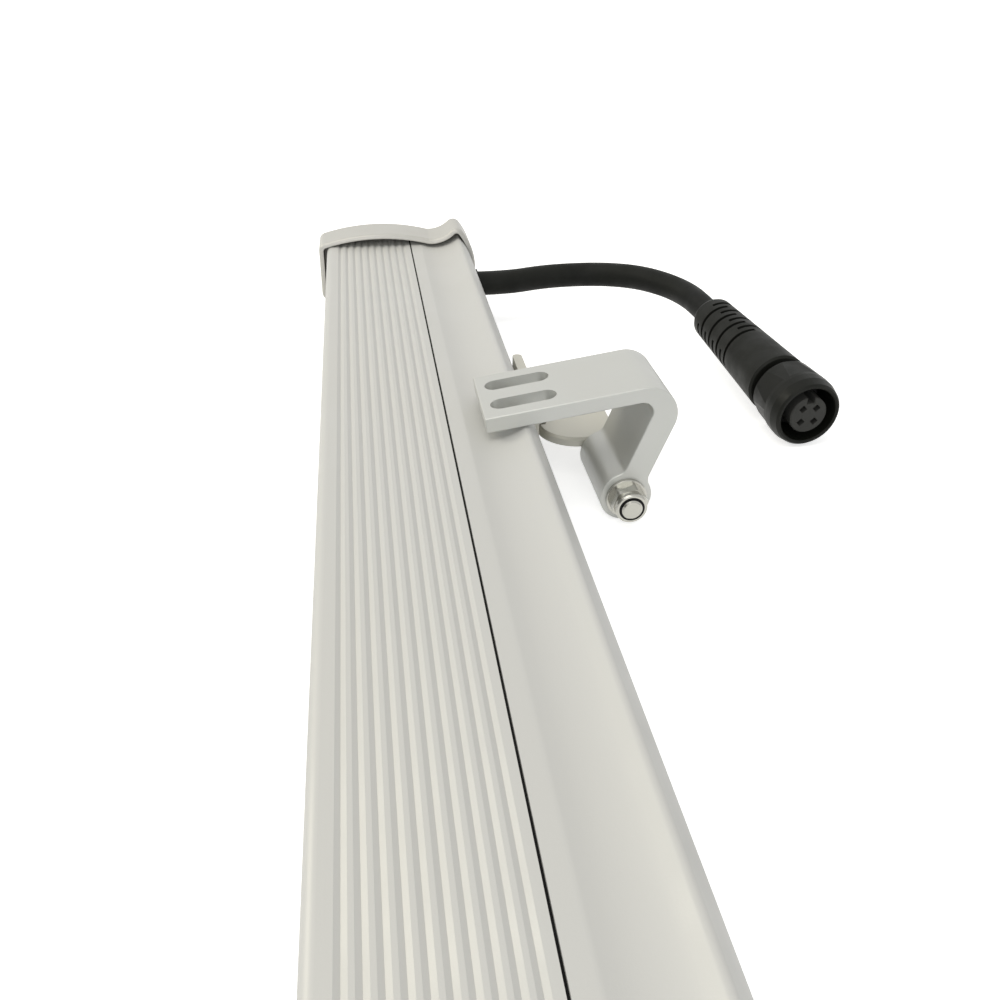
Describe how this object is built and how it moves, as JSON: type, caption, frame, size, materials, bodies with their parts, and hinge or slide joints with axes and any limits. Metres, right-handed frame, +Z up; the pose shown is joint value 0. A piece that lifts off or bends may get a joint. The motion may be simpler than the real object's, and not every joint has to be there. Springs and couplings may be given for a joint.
{
  "type": "outdoor wall washer light",
  "caption": "Slim linear outdoor wall washer with a grooved back, end caps, two hinged slotted brackets and a short lead with a screw connector.",
  "frame": {"origin": "under the middle of the object, on the surface it stands on, measured without the lead", "axes": "+Y along the lamp towards the end with the lead, +Z up through the grooved back, +X from the plain edge to the edge with the brackets"},
  "size_m": [0.144, 1, 0.0348],
  "materials": {
    "body_paint": "satin silver-grey powder coat",
    "cap_paint": "satin light grey paint",
    "bracket_aluminium": "satin anodised extrusion with sawn ends",
    "foot_paint": "satin cast metal",
    "bright_steel": "stainless fasteners",
    "black_rubber": "black silicone rubber",
    "lead_jacket": "matt black cable jacket",
    "boot_rubber": "moulded black boot",
    "black_nylon": "black nylon",
    "connector_plastic": "moulded black plastic",
    "insert_plastic": "moulded dark grey plastic",
    "contact_brass": "gold-plated brass",
    "clear_glass": "clear toughened glass",
    "lens_acrylic": "clear moulded lenses",
    "holder_plastic": "black lens strip",
    "white_board": "white solder mask",
    "led_yellow": "LED phosphor domes",
    "green_board": "green solder mask with black parts",
    "wire_sleeve": "PVC wire sleeves"
  },
  "bodies": {
    "lamp": {"front_housing": "body_paint", "rear_housing": "body_paint", "seam_gasket": "black_rubber", "front_glass": "clear_glass", "glass_gasket": "black_rubber", "led_board": "white_board", "led_chips": "led_yellow", "led_lenses": "lens_acrylic", "lens_holder": "holder_plastic", "control_board": "green_board", "internal_wires": "wire_sleeve", "cable_gland": "black_nylon", "lead_cord": "lead_jacket", "connector_boot": "boot_rubber", "connector_core": "connector_plastic", "connector_insert": "insert_plastic", "contact_sockets": "contact_brass", "connector_oring": "black_rubber", "far_end_cap": "cap_paint", "far_cap_gasket": "black_rubber", "far_cap_screws": "bright_steel", "far_hinge_foot": "foot_paint", "far_hinge_stud": "bright_steel", "far_washer": "bright_steel", "far_lock_nut": "bright_steel", "far_nut_insert": "black_nylon", "far_foot_screws": "bright_steel", "near_end_cap": "cap_paint", "near_cap_gasket": "black_rubber", "near_cap_screws": "bright_steel", "near_hinge_foot": "foot_paint", "near_hinge_stud": "bright_steel", "near_washer": "bright_steel", "near_lock_nut": "bright_steel", "near_nut_insert": "black_nylon", "near_foot_screws": "bright_steel"},
    "far_bracket": {"far_mounting_bracket": "bracket_aluminium"},
    "near_bracket": {"near_mounting_bracket": "bracket_aluminium"},
    "coupling": {"coupling_nut": "connector_plastic"}
  },
  "joints": [
    {"name": "far_bracket_hinge", "type": "hinge", "parent": "lamp", "child": "far_bracket", "pos_m": [0.03208, 0.3388, 0.00635], "axis": [0, 1, 0], "range_deg": [0, 180]},
    {"name": "near_bracket_hinge", "type": "hinge", "parent": "lamp", "child": "near_bracket", "pos_m": [0.03208, -0.3388, 0.00635], "axis": [0, 1, 0], "range_deg": [0, 180]},
    {"name": "coupling_nut_spin", "type": "hinge", "parent": "lamp", "child": "coupling", "pos_m": [0.09054, 0.36613, 0.01048], "axis": [0.1004, -0.9919, -0.0778], "continuous": true}
  ]
}
